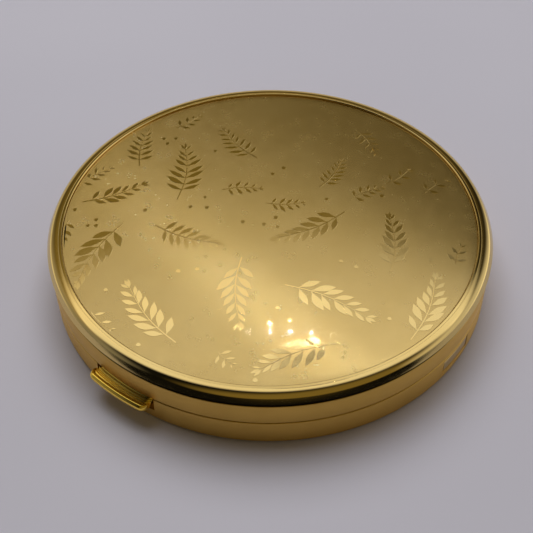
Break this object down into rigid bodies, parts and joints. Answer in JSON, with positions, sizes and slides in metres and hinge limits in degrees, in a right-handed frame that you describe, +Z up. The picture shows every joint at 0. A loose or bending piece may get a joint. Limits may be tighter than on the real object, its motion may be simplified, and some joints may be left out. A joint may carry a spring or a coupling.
{
  "type": "powder compact",
  "caption": "Round slim metal powder compact with a domed sprigged lid, ribbed thumb catch, inner lid, mirror, powder pan and puff.",
  "frame": {"origin": "middle of the flat underside", "axes": "+Z up through the lid, -Y towards the thumb catch, +Y towards the hinge"},
  "size_m": [0.085, 0.0873, 0.0135],
  "materials": {
    "panel_satin": "satin brushed, lacquered",
    "rim_polished": "polished",
    "shell_wall": "semi-polished, faint turned lines",
    "catch_gold": "polished, ribbed",
    "inner_gold": "bright",
    "steel": "bright",
    "pan_metal": "satin",
    "powder": "pressed powder, matt",
    "velour": "velour",
    "ribbon": "satin ribbon",
    "mirror": "polished",
    "card": "card"
  },
  "bodies": {
    "base": {"base_shell": "shell_wall", "inner_frame": "inner_gold", "powder_pan": "pan_metal", "powder_cake": "powder", "catch_bracket": "inner_gold", "catch_pin": "steel", "catch_rivet_left": "steel", "catch_rivet_right": "steel", "base_hinge_plate": "inner_gold", "base_hinge_rivet_left": "steel", "base_hinge_rivet_right": "steel", "lid_hinge_pin": "steel", "inner_lid_pin": "steel", "inner_lid_spring": "steel"},
    "catch": {"thumb_catch": "catch_gold", "catch_spring": "steel"},
    "inner_lid": {"inner_lid": "inner_gold", "puff_pad": "velour", "puff_ribbon": "ribbon"},
    "lid": {"lid_frame": "rim_polished", "lid_panel": "panel_satin", "lid_hinge_plate": "inner_gold", "lid_hinge_rivet_left": "steel", "lid_hinge_rivet_right": "steel", "lid_keeper": "inner_gold", "keeper_rivet": "steel", "mirror_glass": "mirror", "mirror_backing": "card", "mirror_bezel": "inner_gold"}
  },
  "joints": [
    {"name": "lid_hinge", "type": "hinge", "parent": "base", "child": "lid", "pos_m": [0, 0.0412, 0.0058], "axis": [-1, 0, 0], "range_deg": [0, 110]},
    {"name": "inner_lid_hinge", "type": "hinge", "parent": "base", "child": "inner_lid", "pos_m": [0, 0.0364, 0.0059], "axis": [-1, 0, 0], "range_deg": [0, 27.6]},
    {"name": "catch_pivot", "type": "hinge", "parent": "base", "child": "catch", "pos_m": [0, -0.038, 0.0029], "axis": [1, 0, 0], "range_deg": [0, 12], "stiffness_Nm_per_rad": 0.01, "springref_deg": -17.19}
  ],
  "couplings": [
    {"joint": "inner_lid_hinge", "follows": "lid_hinge", "ratio": 0.25}
  ]
}
